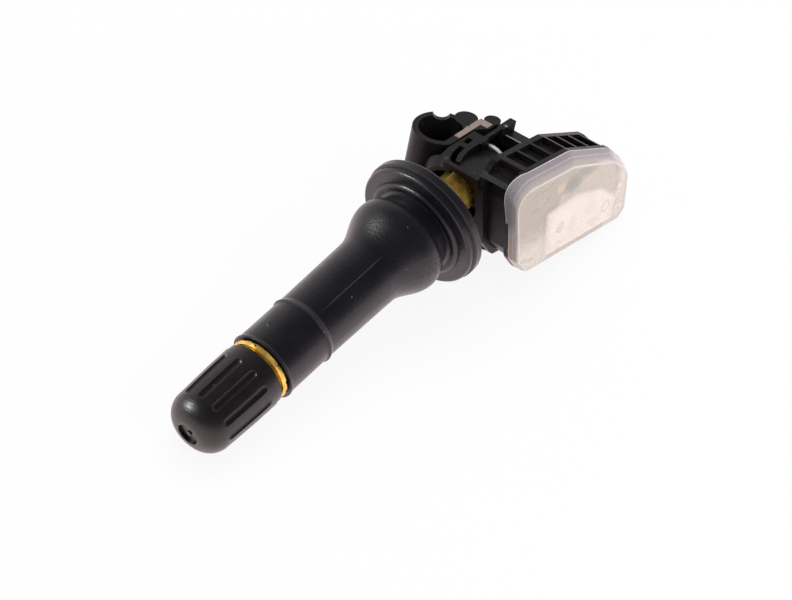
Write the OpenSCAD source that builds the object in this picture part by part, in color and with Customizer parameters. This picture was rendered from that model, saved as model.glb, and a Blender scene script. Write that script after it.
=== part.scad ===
// Snap-in tyre pressure sensor. A rubber valve moulded on a brass stem holds a
// valve core and a cap. A screw ties the stem to a moulded electronics housing,
// whose side is closed by a milky translucent lid.
// Units are mm and +Z is up. The part lies as it rests: on its cap and on the
// lower rear edge of the housing.

/* [Pose] */
// Angle between the stem's axis and the housing's base, in degrees
body_tilt = 18.7; // [12:0.1:24]

/* [Rubber valve body] */
// Radius of the flange's rear disc
flange_r = 9.6; // [8.6:0.1:11]
// How much smaller the front disc of the flange is
flange_step = 0.25; // [0.1:0.05:0.6]
// Thickness of the rear disc
flange_rear_t = 1.7; // [1:0.1:3]
// Thickness of the front disc
flange_front_t = 1.0; // [0.6:0.1:2]
// Width and depth of the groove between the two discs
flange_groove = 0.35; // [0.2:0.05:0.6]
// Radius of the raised ring at the foot of the neck
foot_ring_r = 7.3; // [6.6:0.1:8]
// Radius of the neck that sits in the wheel rim's hole
neck_r = 5.9; // [5.5:0.1:6.2]
// Length of that neck
neck_len = 2.2; // [1.8:0.1:3]
// Largest radius of the bulb that snaps through the rim
bulb_r = 7.2; // [6.8:0.1:7.8]
// Length of the flare from bulb to tube
flare_len = 6.4; // [5:0.1:8]
// Radius of the tube at the flare and near the ridge
tube_r = 5.0; // [4.8:0.05:5.4]
// Distance from the flange's groove to the ridge on the tube
ridge_at = 24.6; // [20:0.1:30]
// How far the ridge stands out
ridge_h = 0.17; // [0.1:0.01:0.3]
// Distance from the flange's groove to the outer end of the rubber
sleeve_at = 32.4; // [28:0.1:38]

/* [Brass stem] */
// Radius of the brass inside the rubber
stem_r = 3.4; // [3:0.1:3.8]
// Radius of the bright collar outside the rubber
stem_collar_r = 4.6; // [4.2:0.1:4.8]
// Thickness of that collar
stem_collar_t = 0.8; // [0.5:0.1:1.2]
// Radius over the mouth thread
mouth_r = 3.85; // [3.7:0.05:4]
// Length of the threaded mouth past the collar
mouth_len = 8.8; // [7.5:0.1:10]
// Across-flats radius of the faceted inner end
inner_end_r = 2.95; // [2.7:0.05:3.3]
// Radius of the chamber for the valve core
core_chamber_r = 2.55; // [2.4:0.05:2.7]
// Radius of the air passage
passage_r = 1.5; // [1.2:0.1:1.8]
// Depth of the chamber from the mouth
chamber_len = 9.2; // [8.6:0.1:10]

/* [Cap] */
// Largest outer radius of the cap
cap_r = 4.8; // [4.6:0.1:5.4]
// Total length of the cap
cap_len = 13.0; // [12:0.1:15]
// Radius of the rounding at the closed end
cap_round = 3.0; // [2:0.1:3.4]
// How much the cap narrows towards the closed end
cap_taper = 0.2; // [0:0.05:0.5]
// Number of grip flutes
cap_flutes = 12; // [8:1:18]
// Depth of a grip flute
flute_depth = 0.32; // [0.2:0.02:0.5]
// Radius of the dimple in the closed end
dimple_r = 1.6; // [1:0.1:2.2]

/* [Housing] */
// Distance of the housing's front face behind the flange's groove
front_b = 6.7; // [5.5:0.1:9]
// Height of the housing's base under the stem's flange centre
base_drop = 6.6; // [6:0.1:9]
// Height of the housing's top over the stem's flange centre
top_rise = 10.5; // [9:0.1:12]
// Position of the housing's rear end
end_y = 36.5; // [34:0.1:40]
// Position where the top begins to slope
top_break_y = 17.8; // [15:0.1:22]
// Position where the slope steepens
top_fall_y = 29.3; // [26:0.1:32]
// How much lower the top is at that second break
top_fall = 3.5; // [2:0.1:5]
// Position of the electronics box's rim plate
box_x = 4.7; // [4.4:0.1:6]
// Depth of the electronics box up to the lid
box_depth = 5.3; // [5:0.1:7]
// Wall thickness of the box
wall = 1.0; // [0.8:0.1:1.4]
// How far the ribs stand out of the wall
rib_h = 0.9; // [0.5:0.1:1.2]
// Thickness of a rib
rib_t = 0.5; // [0.4:0.05:1]
// Distance between the ribs on top
rib_pitch = 3.3; // [2.6:0.05:4]
// Rounding of the box's outer corners
box_round = 1.5; // [1:0.1:2]

/* [Stem bracket] */
// Height of the bracket's front edge over the stem's flange centre
plate_rise = 7.8; // [7:0.1:9]
// Angle at which the tops of bracket, cup and posts rise towards the rear
top_tilt = 6; // [0:0.5:9]
// Radius of the collar's front edge
collar_r = 4.9; // [4.7:0.1:5.2]
// Radius of the lobe that the collar widens into
lobe_r = 5.95; // [5.4:0.05:6.4]
// Radius of the collar's open front
collar_mouth_r = 4.3; // [4:0.1:4.5]
// Depth of the open front
collar_mouth_len = 2.0; // [1.5:0.1:3]
// Left side of the bracket
bracket_left = 2.85; // [2.4:0.05:3.1]
// Rear end of the bracket
bracket_back_y = 20.2; // [19.6:0.1:22]
// Distance of the screw wall's rear face behind the flange's groove
screw_wall_b = 15.5; // [14.5:0.1:17]
// Thickness of the screw wall
screw_wall_t = 1.7; // [1.4:0.1:2.2]
// Height of the screw wall's top
screw_wall_rise = 7.1; // [6.6:0.1:7.6]

/* [Cup] */
// Radius of the open cup beside the bracket
cup_r = 4.05; // [3.6:0.05:4.6]
// Distance of the cup's centre from the stem's middle plane
cup_out = 6.5; // [6.2:0.1:7.4]
// Position of the cup's centre along the housing
cup_y = 10.5; // [9.8:0.1:11.4]
// Wall thickness of the cup
cup_wall = 0.85; // [0.7:0.05:1.2]
// Width of the flat strip between cup and bracket
strip_w = 1.03; // [0.8:0.01:1.2]
// Radius of the larger post beside the cup
post_r = 1.7; // [1.4:0.05:2]
// Radius of the smaller post
post_small_r = 1.2; // [1:0.05:1.4]

/* [Lid] */
// Height of the lid's lip
lid_step = 0.9; // [0.7:0.05:1.2]
// Height of the lid's field over that lip
lid_rise = 0.7; // [0.5:0.05:1]
// Thickness of the lid
lid_t = 0.8; // [0.6:0.05:1]
// How far the field lies inside the lid's edge
lid_margin = 1.0; // [0.8:0.1:2]
// Height of the raised arch
island_rise = 0.4; // [0.2:0.05:0.8]
// How far the lid's skirt reaches back over the front of the box
skirt_len = 0.85; // [0.5:0.05:1.2]

/* [Screw] */
// Radius of the screw's head
screw_head_r = 2.7; // [2.5:0.05:3]
// Height of the screw's head
screw_head_h = 1.4; // [1.2:0.1:2]
// Radius of the screw's shank
screw_r = 1.45; // [1.3:0.05:1.6]
// Length of the screw's shank
screw_len = 7.2; // [6:0.1:8]

/* [Electronics] */
// Thickness of the circuit board
board_t = 0.8; // [0.6:0.1:1]
// Thickness of the coin battery
cell_t = 2.0; // [1.6:0.1:2.4]

/* [Hidden] */
round_fn = 96;
small_fn = 48;
overrun = 1;
fit_gap = 0.05;
skin_gap = 0.15;
arc_steps = 6;
flare_steps = 12;

// Directions of the stem's axis seen from the housing
tilt_c = cos(body_tilt);
tilt_s = sin(body_tilt);
function front_y(z) = (front_b - z * tilt_s) / tilt_c;
function stem_b(p) = p[0] * tilt_c + p[1] * tilt_s;
function stem_h(p) = p[1] * tilt_c - p[0] * tilt_s;

// Small tools for outlines
function unit(v) = v / norm(v);
function left(v) = [-v[1], v[0]];
function cross2(a, b) = a[0] * b[1] - a[1] * b[0];
function meet(p, u, q, v) = p + u * (cross2(q - p, v) / cross2(u, v));
function turn(u, v) = atan2(cross2(u, v), u * v);
function inset(pts, d) = [
    for (i = [0 : len(pts) - 1])
        let (n = len(pts), b = pts[i])
        let (u = unit(b - pts[(i + n - 1) % n]), v = unit(pts[(i + 1) % n] - b))
        meet(b + left(u) * d, u, b + left(v) * d, v)
];
function arc(c, r, from, sweep, steps) = [
    for (k = [0 : steps]) c + r * [cos(from + sweep * k / steps), sin(from + sweep * k / steps)]
];
function rounded(pts, r, extra = []) = [
    for (i = [0 : len(pts) - 1])
        let (n = len(pts), b = pts[i], q = i < len(extra) ? r + extra[i] : r)
        let (c = inset(pts, q)[i])
        let (u = unit(b - pts[(i + n - 1) % n]), v = unit(pts[(i + 1) % n] - b))
        for (p = arc(c, q, atan2(-left(u)[1], -left(u)[0]), turn(u, v), arc_steps)) p
];
function ease(s) = (1 - cos(180 * s)) / 2;

// Outline of the electronics box in the housing's Y and Z
foot_chamfer = 3.0;
end_foot = 1.6;
end_lean = 1.9;
end_shoulder_z = 3.0;
box_outline = [
    [front_y(foot_chamfer - base_drop), foot_chamfer - base_drop],
    [front_y(foot_chamfer - base_drop) + foot_chamfer, -base_drop],
    [end_y - end_foot, -base_drop],
    [end_y, end_foot - base_drop],
    [end_y - end_lean, end_shoulder_z],
    [top_fall_y, top_rise - top_fall],
    [top_break_y, top_rise],
    [front_y(top_rise), top_rise]
];
// Extra rounding of the rear shoulder and of the front's upper corner
shoulder_extra = 3.0;
corner_extra = 1.7;
box_extra = [0, 0, 0, 0, shoulder_extra, 0, 0, corner_extra];
function box_shape(d, r) = rounded(inset(box_outline, d), r, box_extra);
// The box's outline further in, with its upper front corner cut off
corner_cut = 1.8;
function inner_shape(d) =
    let (pts = inset(box_outline, d))
    let (n = len(pts) - 1)
    concat(
        [for (i = [0 : n - 1]) pts[i]],
        [pts[n] + unit(pts[n - 1] - pts[n]) * corner_cut, pts[n] + unit(pts[0] - pts[n]) * corner_cut]
    );
foot_index = 2;
foot_centre = inset(box_outline, box_round)[foot_index];

// Cap positions along the stem, counted from the flange's groove
collar_out = sleeve_at + stem_collar_t;
cap_rim_gap = 0.35;
cap_rim_at = collar_out + cap_rim_gap;
cap_end_at = cap_rim_at + cap_len;
cap_tip_r = cap_r - cap_taper;
cap_round_t = cap_end_at - cap_round;
cap_round_r = cap_tip_r - cap_round;
mouth_at = collar_out + mouth_len;

// The tilt that lays the cap and the housing's rear foot on one floor
reach_h = -stem_h(foot_centre) - cap_round_r;
reach_b = stem_b(foot_centre) + cap_round_t;
rest_tilt = acos((cap_round - box_round) / norm([reach_h, reach_b])) - atan2(reach_b, reach_h);
house_tilt = body_tilt - rest_tilt;

// Row origin: middle of the part's box, at the floor
stem_z = cap_round_t * sin(rest_tilt) + cap_round_r * cos(rest_tilt) + cap_round;
lid_face_x = box_x + box_depth + lid_step + lid_rise + island_rise;
row_x = (cup_out + cup_r - lid_face_x) / 2;
row_front = cap_round_t * cos(rest_tilt) - cap_round_r * sin(rest_tilt) + cap_round;
row_back = max([for (p = box_shape(0, box_round)) p[0] * cos(house_tilt) + p[1] * sin(house_tilt)]);
row_y = (row_front - row_back) / 2;

module stem_frame() {
    translate([row_x, row_y, stem_z])
        rotate([90 + rest_tilt, 0, 0])
            children();
}

module house_frame() {
    translate([row_x, row_y, stem_z])
        rotate([-house_tilt, 0, 0])
            children();
}

// Extrudes an outline given in Y and Z from one X to another
module along_x(x0, x1) {
    translate([x0, 0, 0])
        rotate([90, 0, 90])
            linear_extrude(height = x1 - x0)
                children();
}

module slab(x0, x1, y0, y1, z0, z1) {
    translate([x0, y0, z0])
        cube([x1 - x0, y1 - y0, z1 - z0]);
}

// A cylinder along the stem between two distances from the groove
module rod(r, t0, t1, facets) {
    translate([0, 0, t0])
        cylinder(r = r, h = t1 - t0, $fn = facets);
}

// Rubber valve body, turned profile
edge_round = 0.45;
foot_ring_h = 0.45;
neck_at = flange_front_t + foot_ring_h;
foot_ring_w = 0.7;
bulb_back_at = neck_at + neck_len;
bulb_back_step = 0.35;
bulb_lead = 1.5;
bulb_at = bulb_back_at + bulb_lead;
flare_end_at = bulb_at + flare_len;
tube_grow = 0.14;
ridge_lead = 0.7;
lip_h = 0.08;
lip_len = 0.5;

function flare_pts() = [
    for (k = [0 : flare_steps])
        [tube_r + tube_grow + (bulb_r - tube_r - tube_grow) * (1 - ease(k / flare_steps)),
         bulb_at + flare_len * k / flare_steps]
];

module rubber_profile() {
    polygon(concat(
        [[stem_r, -flange_rear_t], [flange_r - edge_round, -flange_rear_t]],
        arc([flange_r - edge_round, edge_round - flange_rear_t], edge_round, -90, 90, arc_steps),
        [[flange_r, -flange_groove], [flange_r - flange_groove, -flange_groove / 2],
         [flange_r - flange_groove, flange_groove / 2], [flange_r - flange_step, flange_groove]],
        arc([flange_r - flange_step - edge_round, flange_front_t - edge_round], edge_round, 0, 90, arc_steps),
        [[foot_ring_r + foot_ring_h, flange_front_t]],
        arc([foot_ring_r - foot_ring_w / 2, flange_front_t], foot_ring_w / 2 + foot_ring_h / 2, 0, 90, arc_steps),
        [[neck_r + foot_ring_h, neck_at], [neck_r, neck_at + foot_ring_h / 2]],
        [[neck_r, bulb_back_at - bulb_back_step], [bulb_r - bulb_back_step, bulb_back_at],
         [bulb_r - bulb_back_step / 4, bulb_back_at + bulb_lead / 2]],
        flare_pts(),
        [[tube_r - tube_grow / 2, ridge_at - ridge_lead], [tube_r + ridge_h, ridge_at],
         [tube_r - tube_grow / 2, ridge_at + ridge_lead / 4], [tube_r - tube_grow / 2, sleeve_at - lip_len],
         [tube_r + lip_h, sleeve_at - lip_len / 2], [tube_r + lip_h, sleeve_at - lip_h],
         [tube_r, sleeve_at], [stem_r, sleeve_at]]
    ));
}

module rubber_body() {
    color([0.07, 0.07, 0.08])
        stem_frame()
            rotate_extrude($fn = round_fn)
                rubber_profile();
}

// Brass stem with collar, mouth, chamber and faceted inner end
inner_end_short = 1.4;
inner_end_b = screw_wall_b - screw_wall_t - inner_end_short;
inner_facets = 12;
seat_r = 1.9;
chamber_floor = mouth_at - chamber_len;
seat_len = 0.8;
mouth_chamfer = 0.4;
port_r = 0.7;
collar_port_lead = 2.4;
port_b = front_b - collar_port_lead;
screw_hole_len = 7.6;
collar_bevel = 0.25;

module brass_stem() {
    color([0.80, 0.62, 0.25])
        stem_frame()
            difference() {
                union() {
                    rotate_extrude($fn = round_fn)
                        polygon([
                            [0, -flange_rear_t], [stem_r, -flange_rear_t], [stem_r, sleeve_at],
                            [stem_collar_r - collar_bevel, sleeve_at], [stem_collar_r, sleeve_at + collar_bevel],
                            [stem_collar_r, collar_out - collar_bevel], [stem_collar_r - collar_bevel, collar_out],
                            [mouth_r, collar_out], [mouth_r, mouth_at - mouth_chamfer],
                            [mouth_r - mouth_chamfer, mouth_at], [0, mouth_at]
                        ]);
                    rotate([0, 0, 180 / inner_facets])
                        rod(inner_end_r / cos(180 / inner_facets), -inner_end_b, -flange_rear_t, inner_facets);
                }
                rod(core_chamber_r, chamber_floor, mouth_at + overrun, round_fn);
                translate([0, 0, chamber_floor - seat_len])
                    cylinder(r1 = passage_r, r2 = core_chamber_r, h = seat_len, $fn = round_fn);
                rod(passage_r, screw_hole_len - inner_end_b, chamber_floor, small_fn);
                rod(screw_r, -inner_end_b - overrun, screw_hole_len - inner_end_b, small_fn);
                translate([0, 0, -port_b])
                    rotate([90, 0, 0])
                        cylinder(r = port_r, h = stem_r + overrun, $fn = small_fn);
            }
}

// Valve core: barrel, gasket, pin, pin seal and spring
core_inset = 0.4;
core_top = mouth_at - core_inset;
barrel_len = 7.6;
barrel_r = core_chamber_r;
barrel_head_len = 2.8;
barrel_neck_r = 1.95;
barrel_end_r = 1.75;
well_r = 1.6;
well_len = 4.6;
pin_r = 0.55;
pin_bore_r = 0.6;
pin_collar_r = 1.3;
pin_collar_t = 0.5;
pin_collar_drop = 1.0;
pin_press = 1.1;
barrel_bottom = core_top - barrel_len;
gasket_len = 1.9;
gasket_lift = 0.5;
seal_t = 0.9;
seal_r = 1.55;
seal_cup_r = 1.2;
wire_r = 0.14;
coil_r = 1.2;
coil_turns = 5;
coil_gap = 0.02;

module core_barrel() {
    color([0.78, 0.66, 0.34])
        stem_frame()
            difference() {
                union() {
                    rod(barrel_r, core_top - barrel_head_len, core_top, round_fn);
                    rod(barrel_neck_r, barrel_bottom + gasket_lift, core_top - barrel_head_len, small_fn);
                    rod(barrel_end_r, barrel_bottom, barrel_bottom + gasket_lift, small_fn);
                }
                rod(well_r, core_top - well_len, core_top + overrun, small_fn);
                rod(pin_bore_r, barrel_bottom - overrun, core_top, small_fn);
                for (side = [-1, 1])
                    translate([side * (barrel_r + pin_r), 0, core_top])
                        cube([barrel_r, barrel_r * 2, core_inset * 4], center = true);
            }
}

module core_gasket() {
    color([0.85, 0.85, 0.82])
        stem_frame()
            difference() {
                rod(barrel_r, barrel_bottom + gasket_lift, barrel_bottom + gasket_lift + gasket_len, round_fn);
                rod(barrel_neck_r, barrel_bottom, core_top, small_fn);
            }
}

module core_pin() {
    color([0.82, 0.72, 0.42])
        stem_frame()
            union() {
                rod(pin_r, barrel_bottom - seal_t * 2, core_top, small_fn);
                rod(pin_collar_r, core_top - pin_collar_drop - pin_collar_t, core_top - pin_collar_drop, small_fn);
                rod(seal_cup_r, barrel_bottom - seal_t * 2, barrel_bottom - seal_t, small_fn);
            }
}

module core_pin_seal() {
    color([0.15, 0.15, 0.15])
        stem_frame()
            difference() {
                rod(seal_cup_r, barrel_bottom - seal_t, barrel_bottom, small_fn);
                rod(pin_r, barrel_bottom - seal_t - overrun, barrel_bottom + overrun, small_fn);
            }
}

// The spring is a stack of rings that stand for its close coils
module core_spring() {
    color([0.70, 0.70, 0.72])
        stem_frame()
            for (k = [0 : coil_turns])
                translate([0, 0, core_top - well_len + wire_r + spring_step() * k])
                    rotate_extrude($fn = small_fn)
                        translate([coil_r, 0, 0])
                            circle(r = wire_r, $fn = 16);
}
function spring_step() = (well_len - pin_collar_drop - pin_collar_t - wire_r * 2) / coil_turns;

// Cap with flutes, dimple and threaded bore
flute_r = 0.75;
flute_start = 2.9;
flute_stop = 3.4;
cap_step_len = 1.0;
cap_step_h = 0.12;
cap_bore_r = mouth_r + fit_gap;
cap_seal_t = 0.9;
cap_bore_end = mouth_at + cap_seal_t + fit_gap;
dimple_depth = 0.45;
nub_r = 0.35;
cap_mouth_bevel = 0.3;
cap_wide_len = 4.3;

module cap() {
    color([0.05, 0.045, 0.045])
        stem_frame()
            difference() {
                rotate_extrude($fn = round_fn)
                    polygon(concat(
                        [[0, cap_rim_at], [cap_r - cap_step_h - cap_mouth_bevel, cap_rim_at],
                         [cap_r - cap_step_h, cap_rim_at + cap_mouth_bevel],
                         [cap_r - cap_step_h, cap_rim_at + cap_step_len],
                         [cap_r, cap_rim_at + cap_step_len + cap_step_h],
                         [cap_r, cap_rim_at + cap_wide_len]],
                        arc([cap_round_r, cap_round_t], cap_round, 0, 90, arc_steps * 2),
                        [[0, cap_end_at]]
                    ));
                for (k = [0 : cap_flutes - 1])
                    rotate([0, 0, 360 / cap_flutes * k])
                        flute();
                difference() {
                    rod(dimple_r, cap_end_at - dimple_depth, cap_end_at + overrun, small_fn);
                    rod(nub_r, cap_end_at - dimple_depth, cap_end_at - dimple_depth / 2, small_fn);
                }
                rod(cap_bore_r, cap_rim_at - overrun, cap_bore_end, round_fn);
            }
}

// One flute: a round-ended groove that follows the cap's side
module flute() {
    flute_low = cap_rim_at + flute_start;
    flute_high = cap_end_at - flute_stop;
    depth_r = cap_r + flute_r - flute_depth;
    translate([depth_r, 0, flute_low])
        sphere(r = flute_r, $fn = small_fn);
    translate([depth_r, 0, flute_low])
        rotate([0, -atan2(cap_taper, flute_high - flute_low), 0])
            cylinder(r = flute_r, h = flute_high - flute_low, $fn = small_fn);
    translate([depth_r - cap_taper, 0, flute_high])
        sphere(r = flute_r, $fn = small_fn);
}

module cap_seal() {
    color([0.12, 0.12, 0.12])
        stem_frame()
            difference() {
                rod(cap_bore_r - fit_gap, mouth_at + fit_gap, cap_bore_end, round_fn);
                rod(core_chamber_r, mouth_at - overrun, cap_bore_end + overrun, small_fn);
            }
}

// Housing: box, ribs, stem bracket and cup in one moulding
rim_t = 0.9;
band_t = 0.8;
lid_seat_x = box_x + box_depth;
rib_x0 = box_x + rim_t;
rib_x1 = lid_seat_x - band_t;
rib_first_y = 7.75;
wide_rib_t = 1.1;
rib_count = 6;
floor_t = 1.1;
front_rib_z = 8.3;
front_rib_t = 0.7;
snap_y = 25.4;
snap_w = 4.2;
snap_t = 0.25;
snap_depth = 1.1;

module box_solid(d, x0, x1) {
    along_x(x0, x1)
        polygon(box_shape(d, box_round - d / 2));
}

module ribs() {
    intersection() {
        box_solid(0, rib_x0 - fit_gap, rib_x1 + fit_gap);
        union() {
            slab(rib_x0 - fit_gap, rib_x1 + fit_gap, rib_first_y, rib_first_y + wide_rib_t, top_rise / 2, top_rise + overrun);
            for (k = [1 : rib_count])
                slab(rib_x0 - fit_gap, rib_x1 + fit_gap, rib_first_y + wide_rib_t / 2 + rib_pitch * k - rib_t / 2,
                     rib_first_y + wide_rib_t / 2 + rib_pitch * k + rib_t / 2, 0, top_rise + overrun);
            slab(rib_x0 - fit_gap, rib_x1 + fit_gap, 0, top_break_y / 2, front_rib_z, front_rib_z + front_rib_t);
        }
    }
}

// The stem's own axes, used inside the housing
module stem_axes() {
    rotate([90 + body_tilt, 0, 0])
        children();
}

// All that lies under the sloping plane that tops bracket, cup and posts
reach = 60;
module under_top() {
    translate([0, front_y(plate_rise), plate_rise])
        rotate([top_tilt, 0, 0])
            translate([-reach, -reach, -reach])
                cube([reach * 2, reach * 2, reach]);
}
function top_z(y) = plate_rise + (y - front_y(plate_rise)) * tan(top_tilt);

// A band of even width that follows a path
function path_side(path, i) =
    let (n = len(path) - 1)
    let (u = unit(path[min(i + 1, n)] - path[max(i - 1, 0)]))
    left(u);
function band_pts(path, w) = concat(
    [for (i = [0 : len(path) - 1]) path[i] - path_side(path, i) * w / 2],
    [for (i = [0 : len(path) - 1]) let (k = len(path) - 1 - i) path[k] + path_side(path, k) * w / 2]
);
module band(path, w, z0, z1) {
    translate([0, 0, z0])
        linear_extrude(height = z1 - z0)
            polygon(band_pts(path, w));
}

// Paths of the lever wall and of the pockets, in the housing's X and Y
lobe_lead = 1.3;
plate_left = 1.25;
lever_x = -0.85;
lever_w = 0.6;
lever_foot_z = 5.9;
lever_bend_y = 9.2;
lever_start = [0.2, 5.9];
lever_mid = [-0.4, 7.5];
lever_block_w = 1.05;
lever_block_y = 17.4;
lever_end_y = 19.9;
lever_path = [lever_start, lever_mid, [lever_x + lever_w / 8, lever_bend_y], [lever_x, lever_block_y]];
pocket_w = 0.85;
pocket_depth = 2.6;
pocket_path = [[-0.65, 5.7], [-1.3, 7.2], [-1.65, 9.2]];
pocket_rear_path = [[-1.9, 10.2], [-2.05, 11.6]];
pocket_wall = 0.45;
front_wall = 0.85;
gap_w = 0.7;
gap_depth = 0.2;
driver_y = 14.6;
driver_depth = 3.4;
frame_w = 0.6;
frame_depth = 0.7;
frame_top = 5.0;
frame_foot = 5.0;
bracket_foot_z = foot_chamfer - base_drop + skin_gap * 2;
plateau_drop = 0.4;
plateau_round = 1.4;
slit_w = 0.35;
slit_y = 11.2;
shoulder_y = 16.9;
shoulder_drop = 0.9;
ledge_y = 17.7;
ledge_rise = 7.7;
ledge_lip_w = 0.35;
ledge_lip_h = 0.15;
hollow_top = 2.4;

module bracket_solid() {
    // Collar that widens into a lobe round the stem
    stem_axes()
        translate([0, 0, -front_b - lobe_lead])
            cylinder(r1 = lobe_r, r2 = collar_r, h = lobe_lead, $fn = round_fn);
    intersection() {
        union() {
            stem_axes()
                rod(lobe_r, -screw_wall_b, -front_b - lobe_lead, round_fn);
            stem_axes()
                translate([-plate_left, -base_drop * 3, -screw_wall_b])
                    cube([plate_left + box_x + fit_gap, base_drop * 5, screw_wall_b - front_b]);
            slab(-bracket_left, lever_x, front_y(0) + lobe_lead, shoulder_y, -base_drop, top_z(slit_y) - shoulder_drop);
            slab(-bracket_left, lever_x, front_y(0), pocket_rear_path[1][1] + pocket_wall, -base_drop, top_rise);
        }
        slab(-bracket_left, box_x + fit_gap, 0, bracket_back_y, bracket_foot_z, top_rise);
    }
}

// Rear part of the bracket: floor, lever wall, its end block and the ledge
module bracket_rear() {
    slab(-bracket_left, box_x + fit_gap, front_y(0) + screw_wall_t * 2, bracket_back_y,
         floor_t / 2 - base_drop, floor_t * 2 - base_drop);
    band(lever_path, lever_w, lever_foot_z, top_rise);
    slab(lever_x - lever_w / 2, lever_x + lever_w / 2, front_y(0) + screw_wall_t * 2, lever_block_y,
         floor_t - base_drop, top_rise);
    slab(lever_x - lever_block_w / 2, lever_x + lever_block_w / 2, lever_block_y - lever_w, lever_end_y,
         floor_t - base_drop, top_rise);
    slab(lever_x, box_x + fit_gap, ledge_y, bracket_back_y, ledge_rise - wall * 2, ledge_rise);
    slab(lever_x, box_x + fit_gap, ledge_y, ledge_y + ledge_lip_w, ledge_rise - wall * 2, ledge_rise + ledge_lip_h);
    slab(lever_x, box_x + fit_gap, bracket_back_y - wall, bracket_back_y, floor_t - base_drop, ledge_rise);
}

// What is cut out of the bracket
module bracket_cuts() {
    band(pocket_path, pocket_w, top_z(slit_y) - pocket_depth, top_rise + overrun);
    band(pocket_rear_path, pocket_w, top_z(slit_y) - pocket_depth, top_rise + overrun);
    // Recess round the plateau, with a deep gap at its left and rear
    difference() {
        stem_axes()
            translate([lever_x, 0, fit_gap - screw_wall_b + screw_wall_t])
                cube([box_x - lever_x, top_rise * 2, screw_wall_b - screw_wall_t - front_b - front_wall]);
        slab(-box_x * 2, box_x * 2, 0, bracket_back_y, -base_drop, plate_rise - plateau_drop - gap_depth);
        band(lever_path, lever_w, 0, top_rise * 2);
        band(pocket_path, pocket_w * 2, 0, top_rise * 2);
        plateau(plate_rise - plateau_drop);
    }
    // Top of the screw wall
    slab(lever_x + lever_w, box_x, slit_y - slit_w, ledge_y, screw_wall_rise, top_rise + overrun);
    // Space for the screw's head and for a driver behind it
    slab(lever_x + lever_w, box_x, driver_y, ledge_y, screw_wall_rise - driver_depth, top_rise + overrun);
    // Recess that leaves a thin frame round the collar's mouth
    stem_axes()
        translate([0, -frame_foot, -front_b - frame_depth])
            cube([box_x - frame_w, frame_foot + frame_top, frame_depth + overrun]);
    // Hollow from below
    slab(wall - bracket_left, box_x - wall, front_y(0) + wall, slit_y, -base_drop - overrun, -hollow_top);
}

module plateau(z) {
    plateau_left = lever_x + lever_w / 2 + gap_w;
    translate([0, 0, -base_drop])
        linear_extrude(height = z + base_drop)
            union() {
                translate([plateau_left, 0])
                    square([box_x, slit_y - slit_w - plateau_round]);
                translate([plateau_left + plateau_round, 0])
                    square([box_x, slit_y - slit_w]);
                translate([plateau_left + plateau_round, slit_y - slit_w - plateau_round])
                    circle(r = plateau_round, $fn = small_fn);
            }
}

// Cup with a waved rim, the strip beside it and two posts beyond it
cup_floor_y = cup_y + cup_r;
cup_floor_z = (cup_floor_y * sin(house_tilt) - stem_z) / cos(house_tilt);
strip_gap = 0.25;
strip_right = -bracket_left - strip_gap;
strip_end_y = 16.6;
strip_wide = 1.35;
strip_wide_y = 15.5;
strip_bend_y = 13.6;
post_y = 15.1;
post_out = 5.6;
post_small_y = 17.5;
post_small_out = 2.75;
notch_r = 1.3;
notch_angle = 128;
notch_lift = 0.35;

module cup_outer(d) {
    translate([-cup_out, cup_y])
        circle(r = cup_r - d, $fn = round_fn);
}

module cup_solid() {
    intersection() {
        union() {
            difference() {
                translate([0, 0, cup_floor_z])
                    linear_extrude(height = top_rise - cup_floor_z)
                        intersection() {
                            cup_outer(0);
                            translate([strip_right - reach, 0])
                                square([reach, reach]);
                        }
                // The mouth
                translate([0, 0, cup_floor_z + cup_wall])
                    linear_extrude(height = top_rise * 2)
                        intersection() {
                            cup_outer(cup_wall);
                            translate([strip_right - strip_w - reach, 0])
                                square([reach, reach]);
                        }
                // Dip in the rim
                translate([-cup_out, cup_y, top_z(cup_y + cup_r) + notch_lift])
                    rotate([0, 0, notch_angle])
                        rotate([0, 90, 0])
                            cylinder(r = notch_r, h = cup_r * 2, $fn = small_fn);
            }
            // The strip, which widens beside the smaller post
            translate([0, 0, -base_drop])
                linear_extrude(height = top_rise + base_drop)
                    polygon([
                        [strip_right - strip_w, cup_y], [strip_right, cup_y], [strip_right, strip_bend_y],
                        [strip_right + strip_wide, strip_wide_y], [strip_right + strip_wide, strip_end_y],
                        [strip_right - strip_w, strip_end_y]
                    ]);
            translate([-post_out, post_y, -base_drop])
                cylinder(r = post_r, h = base_drop + top_rise, $fn = small_fn);
            translate([-post_small_out, post_small_y, -base_drop])
                cylinder(r = post_small_r, h = base_drop + top_rise, $fn = small_fn);
        }
        under_top();
    }
}

// The zone where the lid's skirt reaches back over the front of the box
skirt_z = 2.7;
skirt_y = 8.0;
skirt_bend_y = 4.8;
module skirt_zone(grow) {
    translate([0, 0, skirt_z - grow])
        linear_extrude(height = top_rise + overrun - skirt_z)
            polygon([
                [lid_seat_x - skirt_len - grow, 0], [lid_seat_x + overrun, 0],
                [lid_seat_x + overrun, skirt_y + grow], [lid_seat_x - grow, skirt_y + grow],
                [lid_seat_x - skirt_len - grow, skirt_bend_y + grow]
            ]);
}

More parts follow.
